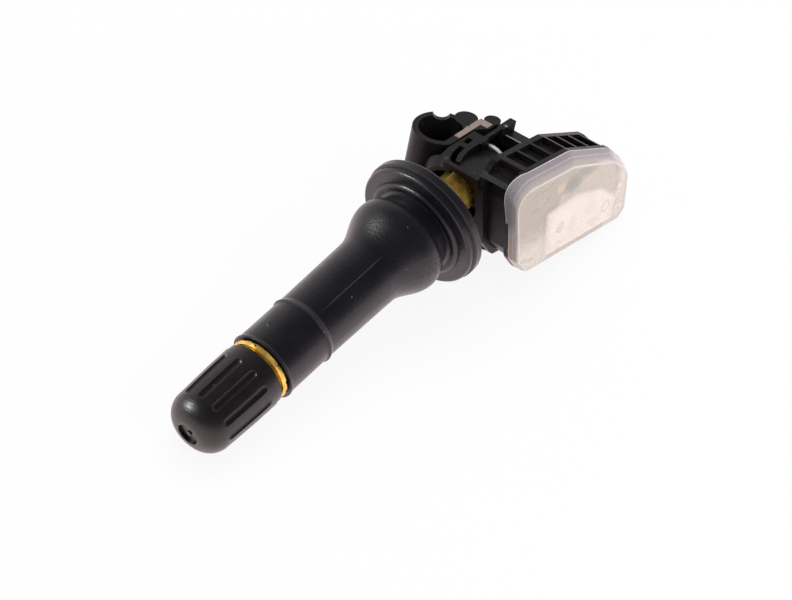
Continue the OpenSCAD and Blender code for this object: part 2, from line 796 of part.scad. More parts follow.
module housing() {
    color([0.09, 0.09, 0.09])
        house_frame()
            difference() {
                union() {
                    box_solid(0, box_x, rib_x0);
                    box_solid(rib_h, box_x, lid_seat_x);
                    box_solid(0, rib_x1, lid_seat_x);
                    ribs();
                    difference() {
                        intersection() {
                            union() {
                                bracket_solid();
                                bracket_rear();
                            }
                            under_top();
                        }
                        bracket_cuts();
                    }
                    cup_solid();
                    // Snap hook under the lid's lower edge
                    slab(lid_seat_x - rib_h, lid_seat_x + snap_depth, snap_y, snap_y + snap_w,
                         -base_drop - snap_t, -base_drop);
                }
                // Space for the board, open to the lid
                along_x(box_x + rim_t + fit_gap, lid_seat_x + overrun)
                    polygon(inner_shape(rib_h + wall));
                // Seat of the lid's skirt
                intersection() {
                    skirt_zone(fit_gap);
                    box_solid(0, box_x, lid_seat_x + overrun);
                    difference() {
                        box_solid(0, box_x, lid_seat_x + overrun);
                        box_solid(rib_h + fit_gap, 0, lid_seat_x + overrun * 2);
                    }
                }
                // Collar's mouth, stem socket and screw hole
                stem_axes() {
                    rod(collar_mouth_r, -front_b - collar_mouth_len, -front_b + overrun, round_fn);
                    rotate([0, 0, 180 / inner_facets])
                        rod((inner_end_r + fit_gap) / cos(180 / inner_facets), -inner_end_b, -front_b, inner_facets);
                    rod(screw_r + fit_gap * 3, -screw_wall_b - overrun, -inner_end_b + overrun, small_fn);
                    rod(screw_head_r + fit_gap * 3, -screw_wall_b - screw_head_h * 2, -screw_wall_b, small_fn);
                }
            }
}

// Lid: tray of milky plastic with a lip, a skirt at the front and a raised arch
lid_top_drop = 0.5;
island_round = 0.8;
island_outline = [
    [15.6, -base_drop - overrun], [32.3, -base_drop - overrun], [32.3, -1.4], [26.9, 1.9], [20.0, 3.4], [13.2, 2.6]
];
port_hole_r = 0.45;
port_y = 14.0;
port_z = -1.9;

module lid() {
    color([0.90, 0.89, 0.84])
        house_frame()
            difference() {
                union() {
                    intersection() {
                        box_solid(0, lid_seat_x, lid_seat_x + lid_step);
                        translate([0, 0, -lid_top_drop])
                            box_solid(0, lid_seat_x - overrun, lid_face_x);
                    }
                    intersection() {
                        box_solid(lid_margin / 4, lid_seat_x, lid_seat_x + lid_step + lid_rise);
                        translate([0, 0, -lid_top_drop - lid_margin / 2])
                            box_solid(lid_margin / 4, lid_seat_x - overrun, lid_face_x);
                    }
                    intersection() {
                        box_solid(lid_margin * 2, lid_seat_x, lid_face_x);
                        along_x(lid_seat_x, lid_face_x)
                            polygon(rounded(island_outline, island_round));
                    }
                    intersection() {
                        skirt_zone(0);
                        difference() {
                            box_solid(0, box_x, lid_seat_x + lid_step);
                            box_solid(rib_h, 0, lid_seat_x + overrun);
                        }
                    }
                }
                along_x(lid_seat_x - overrun, lid_seat_x + lid_step + lid_rise - lid_t)
                    polygon(inner_shape(lid_margin + lid_t));
                along_x(lid_seat_x - overrun, lid_face_x + overrun)
                    translate([port_y, port_z])
                        circle(r = port_hole_r, $fn = small_fn);
            }
}

// Screw with a rounded head and a socket for a driver
function head_pts() = [
    for (k = [0 : head_steps])
        [screw_head_r * cos(90 * k / head_steps), -screw_wall_b - head_rim - (screw_head_h - head_rim) * sin(90 * k / head_steps)]
];
head_steps = 8;
head_rim = 0.15;
module stem_screw() {
    color([0.75, 0.75, 0.78])
        house_frame()
            stem_axes()
                difference() {
                    union() {
                        rotate_extrude($fn = small_fn)
                            polygon(concat([[0, -screw_wall_b], [screw_head_r, -screw_wall_b]], head_pts()));
                        rod(screw_r, -screw_wall_b - fit_gap, screw_len - screw_wall_b, small_fn);
                    }
                    rod(screw_r / 2, -screw_wall_b - screw_head_h - overrun, -screw_wall_b - screw_head_h / 2, 6);
                }
}

// Board and what it carries
cavity_x = box_x + rim_t + fit_gap;
board_face_x = cavity_x + board_t;
board_margin = rib_h + wall + skin_gap;
part_room = 0.4;
function cavity_front(z) = front_y(z) + (rib_h + wall + part_room) / tilt_c;
cavity_top = top_rise - rib_h - wall - part_room;
cell_y = 25.0;
cell_top = top_rise - top_fall * (cell_y - top_break_y) / (top_fall_y - top_break_y);
cell_z = (cell_top - base_drop) / 2;
cell_room = 0.5;
cell_r = (cell_top + base_drop) / 2 - rib_h - wall - cell_room;
tab_t = 0.2;
tab_w = 3;
tab_reach = 1.6;

module circuit_board() {
    color([0.10, 0.35, 0.18])
        house_frame()
            along_x(cavity_x, board_face_x)
                polygon(inner_shape(board_margin));
}

module coin_cell() {
    color([0.75, 0.75, 0.75])
        house_frame()
            along_x(board_face_x + tab_t, board_face_x + tab_t + cell_t)
                translate([cell_y, cell_z])
                    circle(r = cell_r, $fn = round_fn);
}

module cell_tab_rear() {
    color([0.8, 0.8, 0.8])
        house_frame()
            slab(board_face_x, board_face_x + tab_t, cell_y - cell_r - tab_reach, cell_y + tab_w / 2,
                 cell_z - tab_w / 2, cell_z + tab_w / 2);
}

module cell_tab_front() {
    color([0.8, 0.8, 0.8])
        house_frame()
            union() {
                slab(board_face_x + tab_t + cell_t, board_face_x + tab_t * 2 + cell_t, cell_y,
                     cell_y + cell_r + skin_gap + tab_t, cell_z - tab_w / 2, cell_z + tab_w / 2);
                slab(board_face_x, board_face_x + tab_t * 2 + cell_t, cell_y + cell_r + skin_gap,
                     cell_y + cell_r + skin_gap + tab_t, cell_z - tab_w / 2, cell_z + tab_w / 2);
            }
}

chip_w = 4.6;
chip_t = 1.6;
module sensor_chip() {
    color([0.12, 0.12, 0.12])
        house_frame()
            slab(board_face_x, board_face_x + chip_t, port_y - chip_w / 2, port_y + chip_w / 2,
                 port_z - chip_w / 2, port_z + chip_w / 2);
}

seal_ring_r = 1.1;
module port_seal() {
    color([0.6, 0.2, 0.15])
        house_frame()
            along_x(board_face_x + chip_t, lid_seat_x + lid_step + lid_rise - lid_t)
                translate([port_y, port_z])
                    difference() {
                        circle(r = seal_ring_r, $fn = small_fn);
                        circle(r = port_hole_r, $fn = small_fn);
                    }
}

coil_len = 5.6;
coil_w = 2.2;
coil_z = cavity_top - coil_w / 2;
corner_room = 1.0;
coil_y = cavity_front(coil_z - coil_w / 2) + coil_len / 2 + corner_room;
coil_h = 2.0;
coil_flange = 0.6;
module coil_core() {
    color([0.25, 0.25, 0.25])
        house_frame()
            difference() {
                slab(board_face_x, board_face_x + coil_h, coil_y - coil_len / 2, coil_y + coil_len / 2,
                     coil_z - coil_w / 2, coil_z + coil_w / 2);
                difference() {
                    slab(board_face_x - overrun, board_face_x + coil_h + overrun, coil_y - coil_len / 2 + coil_flange,
                         coil_y + coil_len / 2 - coil_flange, coil_z - coil_w, coil_z + coil_w);
                    slab(board_face_x + coil_flange, board_face_x + coil_h - coil_flange, coil_y - coil_len,
                         coil_y + coil_len, coil_z - coil_w / 2 + coil_flange, coil_z + coil_w / 2 - coil_flange);
                }
            }
}

module coil_winding() {
    color([0.72, 0.42, 0.18])
        house_frame()
            difference() {
                slab(board_face_x, board_face_x + coil_h, coil_y - coil_len / 2 + coil_flange,
                     coil_y + coil_len / 2 - coil_flange, coil_z - coil_w / 2, coil_z + coil_w / 2);
                slab(board_face_x + coil_flange, board_face_x + coil_h - coil_flange, coil_y - coil_len,
                     coil_y + coil_len, coil_z - coil_w / 2 + coil_flange, coil_z + coil_w / 2 - coil_flange);
            }
}

crystal_w = 2.5;
crystal_l = 3.2;
crystal_z = coil_z - coil_w / 2 - crystal_l / 2 - part_room;
crystal_y = cavity_front(crystal_z - crystal_l / 2) + crystal_w / 2;
crystal_t = 0.8;
module crystal() {
    color([0.8, 0.8, 0.78])
        house_frame()
            slab(board_face_x, board_face_x + crystal_t, crystal_y - crystal_w / 2, crystal_y + crystal_w / 2,
                 crystal_z - crystal_l / 2, crystal_z + crystal_l / 2);
}

wire_w = 0.5;
loop_len = 5.5;
loop_y0 = crystal_y + crystal_w / 2 + part_room;
loop_y1 = loop_y0 + loop_len;
loop_z = 2.4;
loop_rise = 2.0;
module antenna_loop() {
    color([0.8, 0.75, 0.6])
        house_frame()
            difference() {
                slab(board_face_x, board_face_x + loop_rise, loop_y0, loop_y1, loop_z, loop_z + wire_w);
                slab(board_face_x - overrun, board_face_x + loop_rise - wire_w, loop_y0 + wire_w, loop_y1 - wire_w,
                     loop_z - overrun, loop_z + overrun);
            }
}

part_w = 0.8;
part_l = 1.5;
part_t = 0.6;
part_pitch = 1.6;
part_step = 1.9;
part_rows = 3;
part_y = coil_y + coil_len / 2 + part_room;
part_z = cavity_top - part_l - part_step;
module board_parts() {
    color([0.55, 0.45, 0.35])
        house_frame()
            for (i = [0 : part_rows - 1])
                for (k = [0 : part_rows - 2])
                    translate([board_face_x, part_y + part_pitch * i, part_z + part_step * k])
                        cube([part_t, part_w, part_l]);
}

rubber_body();
brass_stem();
core_barrel();
core_gasket();
core_pin();
core_pin_seal();
core_spring();
cap();
cap_seal();
housing();
lid();
stem_screw();
circuit_board();
coin_cell();
cell_tab_front();
cell_tab_rear();
sensor_chip();
port_seal();
coil_core();
coil_winding();
crystal();
antenna_loop();
board_parts();
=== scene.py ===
# Snap-in tyre pressure sensor: a rubber valve with its cap, screwed to a moulded
# housing with a milky lid. It lies on its cap and on the housing's rear edge.
# Lengths are in millimetres where no line says otherwise; the scene is in metres.
import bpy
import bmesh
import math
from mathutils import Matrix, Vector


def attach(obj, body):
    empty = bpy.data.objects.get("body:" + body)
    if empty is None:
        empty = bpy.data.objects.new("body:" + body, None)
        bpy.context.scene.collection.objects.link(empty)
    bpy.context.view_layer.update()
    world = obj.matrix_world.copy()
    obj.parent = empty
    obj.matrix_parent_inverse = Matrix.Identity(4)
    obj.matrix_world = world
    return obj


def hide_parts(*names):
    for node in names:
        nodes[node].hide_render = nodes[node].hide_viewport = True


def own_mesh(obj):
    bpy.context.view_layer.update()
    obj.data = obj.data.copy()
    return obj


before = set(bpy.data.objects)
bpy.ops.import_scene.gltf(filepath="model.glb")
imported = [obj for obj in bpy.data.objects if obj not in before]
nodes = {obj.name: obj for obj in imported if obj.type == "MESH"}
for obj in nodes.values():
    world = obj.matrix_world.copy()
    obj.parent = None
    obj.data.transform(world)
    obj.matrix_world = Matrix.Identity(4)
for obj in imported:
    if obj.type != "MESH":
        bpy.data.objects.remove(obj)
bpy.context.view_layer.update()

# Camera, at the photograph's angle: a long lens in front of the object and above
# it, turned a little round its own line of sight. Its lengths are in metres.
camera_azimuth = math.radians(-54.07696)
camera_elevation = math.radians(41.03507)
camera_roll = math.radians(5.59487)
camera_distance = 0.304876
camera_aim = Vector((0.0, 0.000299, 0.001492))
sight = Vector((
    math.cos(camera_elevation) * math.cos(camera_azimuth),
    math.cos(camera_elevation) * math.sin(camera_azimuth),
    math.sin(camera_elevation)))
lens = bpy.data.cameras.new("camera")
lens.sensor_width = 36.0
lens.lens = 100.0
camera = bpy.data.objects.new("camera", lens)
bpy.context.scene.collection.objects.link(camera)
look = sight.to_track_quat("Z", "Y").to_matrix().to_4x4() @ Matrix.Rotation(camera_roll, 4, "Z")
camera.matrix_world = Matrix.Translation(camera_aim + sight * camera_distance) @ look
bpy.context.scene.camera = camera
bpy.context.scene.view_settings.view_transform = "Standard"

# Rubber valve body. Black rubber is pressed in a two-part mould round the brass
# stem, so it has a satin skin, a fine parting line along its tube and a little
# pitting where the bulb left the mould last. Dust clings to it.
mm = 0.001
# Centre of the flange's groove, from which places on the stem and the housing are measured
flange = Vector((-0.725, 5.228, 11.906)) * mm
# The stem's lean, and its own directions: along it to the cap, up across it, and sideways
stem_lean = math.radians(9.688)
outward = Vector((0.0, -math.cos(stem_lean), -math.sin(stem_lean)))
upward = Vector((0.0, -math.sin(stem_lean), math.cos(stem_lean)))
sideways = Vector((1.0, 0.0, 0.0))
rubber_dark = (0.0026, 0.0024, 0.0048)
rubber_light = (0.0056, 0.0052, 0.0092)
rubber_dust = (0.33, 0.31, 0.29)
# The parting line: its turn round the tube from the top, where it runs, its half width and colour
parting_turn = math.radians(60)
parting_start = 10.0
parting_end = 24.0
parting_width = 0.10
parting_colour = (0.10, 0.10, 0.105)
# The pitted patch on the bulb
scar_centre = Vector((6.0, -1.2, 10.4)) * mm
scar_reach = 3.4
scar_colour = (0.07, 0.062, 0.06)


class Wire:
    """One socket of a material, which plain sums turn into nodes."""

    def __init__(self, tree, socket=None):
        self.tree = tree
        self.socket = socket

    def add(self, kind, settings, sockets, out=0):
        """A new node of a kind, with its settings and the values or wires of its sockets."""
        node = self.tree.nodes.new(kind)
        for key, value in settings.items():
            setattr(node, key, value)
        for key, value in sockets.items():
            if isinstance(value, Wire):
                self.tree.links.new(value.socket, node.inputs[key])
            else:
                node.inputs[key].default_value = value
        return Wire(self.tree, node.outputs[out])

    def maths(self, operation, *values):
        return self.add("ShaderNodeMath", {"operation": operation}, dict(enumerate(values)))

    def __add__(self, other):
        return self.maths("ADD", self, other)

    __radd__ = __add__

    def __sub__(self, other):
        return self.maths("SUBTRACT", self, other)

    def __rsub__(self, other):
        return self.maths("SUBTRACT", other, self)

    def __mul__(self, other):
        return self.maths("MULTIPLY", self, other)

    __rmul__ = __mul__

    def __truediv__(self, other):
        return self.maths("DIVIDE", self, other)

    def __abs__(self):
        return self.maths("ABSOLUTE", self)

    def root(self):
        return self.maths("SQRT", self)

    def high(self, *others):
        """The highest of this and others."""
        top = self
        for other in others:
            top = self.maths("MAXIMUM", top, other)
        return top

    def step(self, start, end):
        """0 before start, 1 after end, and smooth between them."""
        return self.add("ShaderNodeMapRange", {"interpolation_type": "SMOOTHSTEP"},
                        {"Value": self, "From Min": start, "From Max": end})

    def ridges(self):
        """0 at whole numbers, and 1 halfway between them."""
        return self.maths("PINGPONG", self, 0.5) * 2

    def dot(self, direction):
        """How much of this vector goes in a direction."""
        return self.add("ShaderNodeVectorMath", {"operation": "DOT_PRODUCT"},
                        {0: self, 1: tuple(direction)}, "Value")

    def along(self, direction, origin):
        """How far this point lies from origin in a direction, in millimetres."""
        scaled = direction / mm
        return self.dot(scaled) - scaled.dot(origin)

    def away(self, place):
        """How far this point lies from a place, in millimetres."""
        reach = self.add("ShaderNodeVectorMath", {"operation": "DISTANCE"},
                         {0: self, 1: tuple(place)}, "Value")
        return reach / mm

    def grain(self, size, detail=2.0, rough=0.5):
        """Cloudy noise whose patches are about size millimetres wide."""
        return self.add("ShaderNodeTexNoise", {}, {
            "Vector": self, "Scale": 1.0 / (size * mm), "Detail": detail, "Roughness": rough})

    def specks(self, spacing, width):
        """Small round specks, one in each cell of that spacing; width is a share of it."""
        reach = self.add("ShaderNodeTexVoronoi", {},
                         {"Vector": self, "Scale": 1.0 / (spacing * mm)}, "Distance")
        return reach.step(width, width * 0.4)

    def blend(self, first, second):
        """The first colour where this is 0, and the second where it is 1."""
        first, second = (
            colour if isinstance(colour, Wire) else (*colour, 1.0) for colour in (first, second))
        return self.add("ShaderNodeMix", {"data_type": "RGBA"}, {0: self, 6: first, 7: second}, 2)

    def bump(self):
        """A normal raised by this height, in millimetres."""
        return self.add("ShaderNodeBump", {}, {"Height": self, "Distance": mm})


def finish(title, **constants):
    """A new material, its shader and the point on the surface."""
    material = bpy.data.materials.new(title)
    material.use_nodes = True
    shader = material.node_tree.nodes["Principled BSDF"]
    for socket, value in constants.items():
        shader.inputs[socket.replace("_", " ")].default_value = value
    point = Wire(material.node_tree).add("ShaderNodeTexCoord", {}, {}, "Object")
    return material, shader, point


def feed(shader, **wires):
    """Joins wires to the shader's sockets."""
    for socket, wire in wires.items():
        wire.tree.links.new(wire.socket, shader.inputs[socket.replace("_", " ")])


def dress(node, material):
    """Gives a CAD node its finish."""
    nodes[node].data.materials.clear()
    nodes[node].data.materials.append(material)


rubber, shader, point = finish("moulded_rubber", Specular_IOR_Level=0.44)
down = point.along(outward, flange)
side = point.along(sideways, flange)
height = point.along(upward, flange)
cloud = point.grain(3.0, 3.0)
fine = point.grain(0.35, 2.0, 0.6)
dust = point.specks(1.3, 0.08) * point.grain(6.0).step(0.5, 0.56)
across = height * math.cos(parting_turn) - side * math.sin(parting_turn)
on_tube = down.step(parting_start, parting_start + 3.0) * down.step(parting_end, parting_end - 4.0)
parting = abs(across).step(parting_width, parting_width * 0.3) * on_tube
scar = point.away(scar_centre).step(scar_reach, 1.2) * point.grain(0.7, 3.0, 0.7).step(0.52, 0.68)
skin = cloud.blend(rubber_dark, rubber_light)
skin = (parting * 0.25).blend(skin, parting_colour)
skin = (scar * 0.5).blend(skin, scar_colour)
skin = (dust * 0.8).blend(skin, rubber_dust)
feed(shader, Base_Color=skin, Roughness=0.27 + cloud * 0.16 + fine * 0.08 + dust * 0.3,
     Normal=(fine * 0.03 - scar * 0.16 + parting * 0.03 + cloud * 0.05).bump())
dress("rubber_body", rubber)

# Brass stem, turned from bar, with a splined end in the housing and a threaded mouth
# under the cap. A bright collar shows between rubber and cap, and a ragged film of
# rubber, left by the mould, covers its edge.
brass_dark = (0.60, 0.33, 0.045)
brass_light = (0.96, 0.66, 0.15)
film_colour = (0.012, 0.010, 0.009)
collar_start = 32.4
collar_radius = 3.9
mouth_start = 33.3
mouth_radius = 3.3
thread_pitch = 0.794
spline_count = 36
brass, shader, point = finish("turned_brass", Metallic=0.6)
down = point.along(outward, flange)
side = point.along(sideways, flange)
height = point.along(upward, flange)
turned = side.maths("ARCTAN2", side, height) / math.tau
radius = (side * side + height * height).root()
on_mouth = down.step(mouth_start, mouth_start + 0.2) * radius.step(mouth_radius, mouth_radius + 0.1)
thread = (down / thread_pitch + turned).ridges() * on_mouth
splines = (turned * spline_count).ridges() * down.step(-0.5, -1.5)
cutter_marks = down * 9.0 + radius * 14.0
cutter_marks = cutter_marks.maths("SINE", cutter_marks)
tarnish = point.grain(1.6, 3.0)
film = point.grain(1.1, 3.0, 0.7) * 2.4 - 0.95 - (down - collar_start)
film = film.step(0.0, 0.07) * radius.step(collar_radius, collar_radius + 0.1)
metal = film.blend(tarnish.step(0.3, 0.7).blend(brass_dark, brass_light), film_colour)
feed(shader, Base_Color=metal, Roughness=0.22 + tarnish * 0.16 + film * 0.3,
     Normal=(cutter_marks * 0.003 + tarnish * 0.05 + splines * 0.05 + thread * 0.28).bump())
dress("brass_stem", brass)

# Valve core: a screwed brass barrel, a white gasket, the pin that is pressed to
# let air out, its rubber seal and a coiled steel spring, which the pin squashes in
# use; the coil is built here at rest.
core_brass, shader, point = finish("core_brass", Metallic=1.0)
tint = point.grain(0.6, 2.0)
feed(shader, Base_Color=tint.blend((0.70, 0.50, 0.16), (0.80, 0.62, 0.26)),
     Roughness=0.25 + tint * 0.2, Normal=(tint * 0.02).bump())
dress("core_barrel", core_brass)
dress("core_pin", core_brass)

gasket_plastic, shader, point = finish("gasket_plastic")
tint = point.grain(0.5, 2.0)
feed(shader, Base_Color=tint.blend((0.66, 0.66, 0.62), (0.78, 0.78, 0.74)),
     Roughness=0.35 + tint * 0.2)
dress("core_gasket", gasket_plastic)

seal_rubber, shader, point = finish("seal_rubber")
tint = point.grain(0.4, 2.0)
feed(shader, Base_Color=tint.blend((0.012, 0.012, 0.013), (0.026, 0.026, 0.028)),
     Roughness=0.5 + tint * 0.2, Normal=(tint * 0.02).bump())
dress("core_pin_seal", seal_rubber)
dress("cap_seal", seal_rubber)

spring_steel, shader, point = finish("spring_steel", Metallic=1.0)
tint = point.grain(0.3, 2.0)
feed(shader, Base_Color=tint.blend((0.42, 0.42, 0.43), (0.60, 0.60, 0.61)),
     Roughness=0.24 + tint * 0.16)
coil_radius = 1.2
wire_radius = 0.14
coil_foot = 37.0
coil_head = 40.1
coil_turns = 5
turn_steps = 20
coil_steps = coil_turns * turn_steps
coil_rise = (coil_head - coil_foot - wire_radius * 2) / coil_steps
coil = bmesh.new()
coil_start = Matrix.Translation((coil_radius * mm, 0, wire_radius * mm))
bmesh.ops.create_circle(coil, cap_ends=True, segments=8, radius=wire_radius * mm,
                        matrix=coil_start @ Matrix.Rotation(math.pi / 2, 4, "X"))
bmesh.ops.spin(coil, geom=coil.faces[:] + coil.edges[:] + coil.verts[:],
               cent=(0, 0, 0), axis=(0, 0, 1), dvec=(0, 0, coil_rise * mm),
               angle=math.tau * coil_turns, steps=coil_steps, use_merge=False)
to_stem = Matrix((sideways, -upward, outward)).transposed().to_4x4()
to_stem.translation = flange + outward * coil_foot * mm
bmesh.ops.transform(coil, matrix=to_stem, verts=coil.verts[:])
bmesh.ops.recalc_face_normals(coil, faces=coil.faces[:])
for face in coil.faces:
    face.smooth = True


def put(title, model, *materials):
    """Makes a piece of a finished bmesh and its materials."""
    mesh = bpy.data.meshes.new(title)
    model.to_mesh(mesh)
    model.free()
    for material in materials:
        mesh.materials.append(material)
    piece = bpy.data.objects.new(title, mesh)
    bpy.context.scene.collection.objects.link(piece)
    return piece


spring = put("coiled_spring", coil, spring_steel)
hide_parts("core_spring")
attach(spring, "sensor")
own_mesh(spring)

# Cap, moulded in glossy black plastic with twelve soft grip flutes and a gate
# mark in its end. A rubber disc inside seals it on the mouth.
cap_dark = (0.0044, 0.0024, 0.0026)
cap_light = (0.0080, 0.0050, 0.0050)
cap_dust = (0.25, 0.24, 0.23)
cap_plastic, shader, point = finish("cap_plastic", Specular_IOR_Level=0.48)
cloud = point.grain(2.4, 3.0)
fine = point.grain(0.4, 2.0, 0.6)
dust = point.specks(1.7, 0.07) * point.grain(5.0).step(0.5, 0.58)
feed(shader, Base_Color=(dust * 0.7).blend(cloud.blend(cap_dark, cap_light), cap_dust),
     Roughness=0.29 + cloud * 0.14 + fine * 0.08 + dust * 0.3,
     Normal=(fine * 0.012 + cloud * 0.07).bump())
dress("cap", cap_plastic)

# Housing, one moulding in black glass-filled nylon: box, ribs, stem bracket and
# cup. The front corner under the lid is scuffed. A strip and a lip on its flat tops
# between the cup and the bracket are painted light where they face up, as painted
# reflection of the light above.
house_tilt = math.radians(9.012)
rearward = Vector((0.0, math.cos(house_tilt), -math.sin(house_tilt)))
boxward = Vector((0.0, math.sin(house_tilt), math.cos(house_tilt)))
nylon_dark = (0.0065, 0.0054, 0.0056)
nylon_light = (0.0110, 0.0092, 0.0092)
nylon_dust = (0.28, 0.26, 0.25)
scuff_colour = (0.20, 0.18, 0.17)
strip_reflection_colour = (0.33, 0.255, 0.225)
lip_reflection_colour = (0.45, 0.40, 0.38)
# The strip's painted reflection is narrow in front and wide behind: its side next
# to the cup, its far sides, where each part starts and where both end
strip_side = -4.3
narrow_side = -3.15
wide_side = -2.0
narrow_start = 10.3
wide_start = 15.2
strip_end = 16.75
# The lip's painted reflection lies between these places
lip_start = 17.5
lip_end = 18.1
nylon, shader, point = finish("housing_nylon", Specular_IOR_Level=0.11)
lay = point.along(rearward, flange)
rise = point.along(boxward, flange)
out = point.along(sideways, flange)
surface = point.add("ShaderNodeNewGeometry", {}, {}, "Normal")
on_top = surface.dot(boxward).step(0.75, 0.9)
cloud = point.grain(2.2, 3.0)
fine = point.grain(0.28, 2.0, 0.6)
dust = point.specks(1.1, 0.09) * point.grain(4.0).step(0.5, 0.58)
scuff = point.grain(0.5, 3.0, 0.7).step(0.54, 0.66) * rise.step(0.5, -4.0) * out.step(7.0, 9.3)
# Painted reflection: the strip's up-facing top is painted light, as a reflection of the light above
narrow = out.step(narrow_side, narrow_side - 0.15) * lay.step(narrow_start, narrow_start + 0.4)
wide = out.step(wide_side, wide_side - 0.15) * lay.step(wide_start, wide_start + 0.3)
strip_reflection = out.step(strip_side, strip_side + 0.2) * narrow.high(wide)
strip_reflection = strip_reflection * lay.step(strip_end, strip_end - 0.15) * rise.step(6.3, 6.6) * on_top
# Painted reflection: the lip's up-facing top is painted light too
lip_reflection = lay.step(lip_start, lip_start + 0.15) * lay.step(lip_end, lip_end - 0.15)
lip_reflection = lip_reflection * out.step(-1.0, -0.5) * out.step(4.2, 3.8) * rise.step(3.0, 4.0) * on_top
shell = cloud.blend(nylon_dark, nylon_light)
shell = (scuff * 0.7).blend(shell, scuff_colour)
shell = (dust * 0.7).blend(shell, nylon_dust)
# Painted reflection laid on the strip's and the lip's up-facing tops
shell = (strip_reflection * (0.35 + fine * 0.9)).blend(shell, strip_reflection_colour)
shell = (lip_reflection * 0.5).blend(shell, lip_reflection_colour)
feed(shader, Base_Color=shell, Roughness=0.30 + cloud * 0.14 + fine * 0.10 + dust * 0.3,
     Normal=(fine * 0.014 + cloud * 0.03).bump())
dress("housing", nylon)

# Lid, a thin tray moulded in milky plastic and welded over the box. The dark box
# shows through its sloping rim. A bead runs round its face and a fine line round its
# back edge, both painted light as a highlight. The battery and the board's parts
# show as soft shades under an island that bulges outward.
field_x = 11.45
milky, shader, point = finish("milky_plastic", Specular_IOR_Level=0.4)
lay = point.along(rearward, flange)
rise = point.along(boxward, flange)
out = point.along(sideways, flange)


def spot(place, reach, soft=0.1):
    """1 inside an oval round place, in the lid's plane, falling to 0 at its reach."""
    across = (lay - place[0]) / reach[0]
    above = (rise - place[1]) / reach[1]
    return (across * across + above * above).step(1.0, soft)


def bar(start, end, width):
    """1 along a straight line in the lid's plane, falling to 0 at half its width."""
    length = math.dist(start, end)
    run_lay = (end[0] - start[0]) / length
    run_rise = (end[1] - start[1]) / length
    across = (rise - start[1]) * run_lay - (lay - start[0]) * run_rise
    along = (lay - start[0]) * run_lay + (rise - start[1]) * run_rise - length / 2
    inside = abs(along).step(length / 2 + width / 2, length / 2)
    return abs(across).step(width / 2, width / 5) * inside


def ring(place, radius, width):
    """1 along a circle in the lid's plane."""
    across = lay - place[0]
    above = rise - place[1]
    gap = (across * across + above * above).root() - radius
    return abs(gap).step(width / 2, width / 5)


cloud = point.grain(3.5, 2.0)
fine = point.grain(0.5, 2.0, 0.6)
# What shows through the field: the battery, the board's dark end, a warm joint and the box's ribs
battery = spot((23.5, -1.0), (8.9, 8.6), 0.9)
dark_end = spot((19.0, 5.5), (3.2, 2.0), 0.0).high(spot((22.0, 6.6), (4.2, 1.5), 0.0) * 0.8)
joint = spot((15.8, 5.9), (1.3, 1.1))
stripes = bar((9.0, 4.4), (12.8, 5.2), 0.8).high(
    bar((9.6, -0.6), (12.2, -1.2), 0.6),
    bar((9.0, -4.0), (12.4, -4.5), 0.8),
    bar((8.8, 6.9), (13.0, 7.6), 0.6))
bright_part = rise.step(1.5, -4.0).high(lay.step(30.5, 33.0))
# What shows on the island: rings that the mould's pins left, and soft shades
marks = ring((17.3, -0.9), 0.75, 0.4).high(
    ring((17.3, -0.9), 0.3, 0.25),
    ring((29.2, -1.9), 0.9, 0.4),
    ring((32.5, 0.3), 0.8, 0.45),
    ring((34.3, -3.7), 0.7, 0.4))
shades = spot((20.6, -1.8), (1.3, 2.6)).high(
    spot((24.6, -0.4), (1.8, 1.5)),
    spot((26.6, -3.4), (2.6, 1.1)),
    spot((31.2, -2.6), (1.0, 2.4)),
    spot((17.6, -4.0), (2.4, 0.9)))
on_island = out.step(field_x, field_x + 0.4)
cream = bright_part.blend(cloud.blend((0.38, 0.325, 0.265), (0.45, 0.39, 0.32)),
                          cloud.blend((0.62, 0.55, 0.475), (0.70, 0.63, 0.55)))
cream = (battery * 0.85).blend(cream, (0.55, 0.48, 0.405))
cream = (dark_end * 0.9).blend(cream, (0.25, 0.25, 0.215))
cream = (joint * 0.5).blend(cream, (0.75, 0.52, 0.32))
cream = (stripes * 0.4).blend(cream, (0.36, 0.335, 0.28))
cream = (on_island * 0.9).blend(cream, cloud.blend((0.80, 0.69, 0.62), (0.88, 0.78, 0.71)))
cream = (shades * 0.45).blend(cream, (0.66, 0.575, 0.50))
cream = (marks * 0.4).blend(cream, (0.50, 0.41, 0.34))
# The sloping wall round the face, over the dark box, with the line of the box's edge behind it
smoke = rise.step(3.0, -3.0).blend((0.27, 0.235, 0.25), (0.36, 0.25, 0.16))
smoke = (out.step(10.7, field_x - 0.05) * 0.8).blend(smoke, (0.44, 0.385, 0.35))
smoke = (abs(out - 10.75).step(0.14, 0.05) * 0.35).blend(smoke, (0.60, 0.55, 0.55))
on_wall = out.step(field_x - 0.03, field_x - 0.15)
feed(shader, Base_Color=on_wall.blend(cream, smoke), Roughness=0.20 + cloud * 0.08 + fine * 0.06,
     Normal=(cloud * 0.03 - marks * 0.05 - stripes * 0.03).bump())
dress("lid", milky)

# Painted highlight: the light finish of the bead and of the back edge's line
milky_edge_highlight, shader, point = finish("milky_edge_highlight", Specular_IOR_Level=0.5)
cloud = point.grain(2.5, 2.0)
feed(shader, Base_Color=cloud.blend((0.55, 0.50, 0.51), (0.70, 0.65, 0.66)),
     Roughness=0.16 + cloud * 0.1)

# The tray is shaped in the lid's own frame, in millimetres: x outward, y rearward, z boxward.
# Its corners, each with the length that its rounding takes
tray_corners = (
    (8.28, -3.6, 0.36), (11.28, -6.6, 0.62), (34.9, -6.6, 0.62), (36.5, -5.0, 0.84),
    (34.6, 3.0, 1.62), (29.3, 7.0, 0.9), (17.8, 10.5, 0.6), (3.74, 10.5, 4.2))
tray_foot = min(z for _, z, _ in tray_corners)
tray_height = max(z for _, z, _ in tray_corners) - tray_foot
